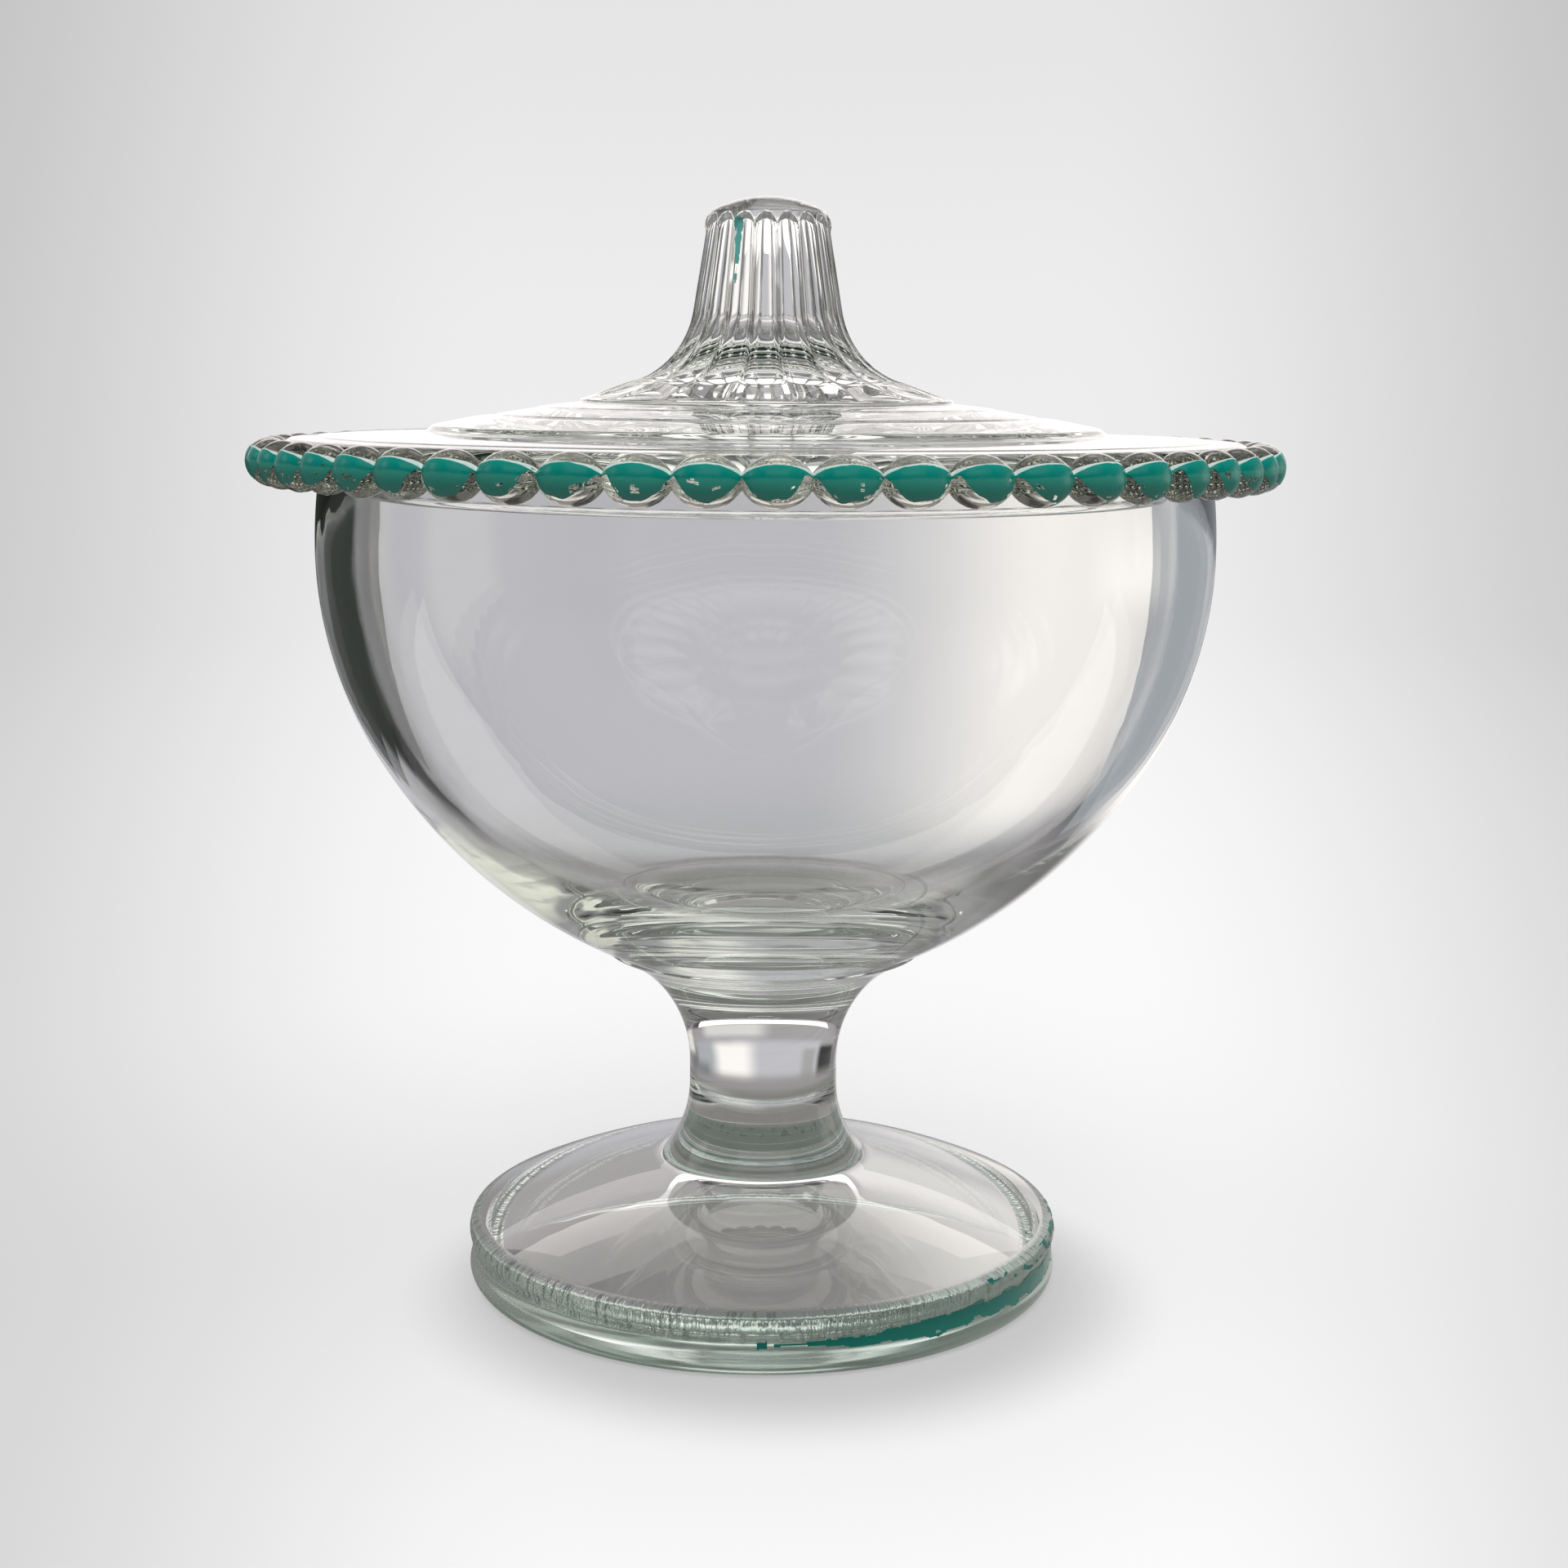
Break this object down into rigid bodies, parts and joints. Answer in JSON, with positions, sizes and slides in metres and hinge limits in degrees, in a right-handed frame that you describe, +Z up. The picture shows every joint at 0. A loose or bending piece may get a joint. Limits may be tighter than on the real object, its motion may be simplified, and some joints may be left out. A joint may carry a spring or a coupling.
{
  "type": "covered candy dish",
  "caption": "Footed round bowl in clear pressed glass with a lift-off lid that has a beaded rim and a fluted knob, and worn green enamel.",
  "frame": {"origin": "centre of the circle on which the foot stands, at floor level", "axes": "+Z up the axis of the bowl, stem and knob; -Y is the front; +X is to the right when it is seen from the front"},
  "size_m": [0.1404, 0.1404, 0.1513],
  "materials": {
    "clear_glass": "fire-polished pressed glass, faint grey-green",
    "green_enamel": "worn fired enamel, satin"
  },
  "bodies": {
    "dish": {"bowl": "clear_glass", "stem": "clear_glass", "foot": "clear_glass", "foot_enamel": "green_enamel"},
    "lid": {"lid_cover": "clear_glass", "lid_seat_ring": "clear_glass", "lid_rim_beads": "clear_glass", "bead_enamel": "green_enamel", "lid_knob": "clear_glass", "knob_enamel": "green_enamel"}
  },
  "joints": [
    {"name": "lid_lift", "type": "slide", "parent": "dish", "child": "lid", "axis": [0, 0, 1], "range_m": [0, 0.08]}
  ]
}
